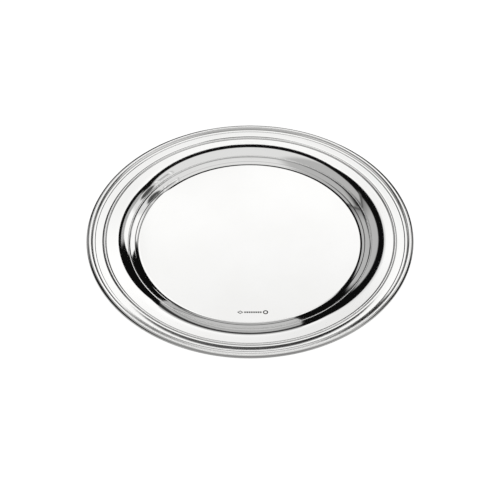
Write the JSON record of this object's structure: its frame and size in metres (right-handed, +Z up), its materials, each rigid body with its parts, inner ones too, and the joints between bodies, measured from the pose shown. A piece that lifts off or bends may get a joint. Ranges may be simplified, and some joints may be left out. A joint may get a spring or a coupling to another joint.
{
  "type": "round salver",
  "caption": "Round silver serving salver with a shallow well, a sloping rim with a fine thread and a rounded edge moulding",
  "frame": {"origin": "middle of the flat underside of the floor, at the height of the surface that the salver stands on", "axes": "+Z is up along the axis of the round salver; X and Y are horizontal, and the row of punch marks lies towards -Y"},
  "size_m": [0.35, 0.35, 0.0134],
  "materials": {
    "silver_plate": "mirror-polished silver plate with faint polishing marks",
    "silver_wire": "mirror-polished silver plate",
    "silver_moulding": "mirror-polished silver plate, softly worn on its crown",
    "silver_solder": "dull grey silver solder"
  },
  "bodies": {
    "root": {"tray_body": "silver_plate", "thread_wire": "silver_wire", "thread_solder": "silver_solder", "edge_moulding": "silver_moulding", "edge_solder": "silver_solder"}
  },
  "joints": []
}
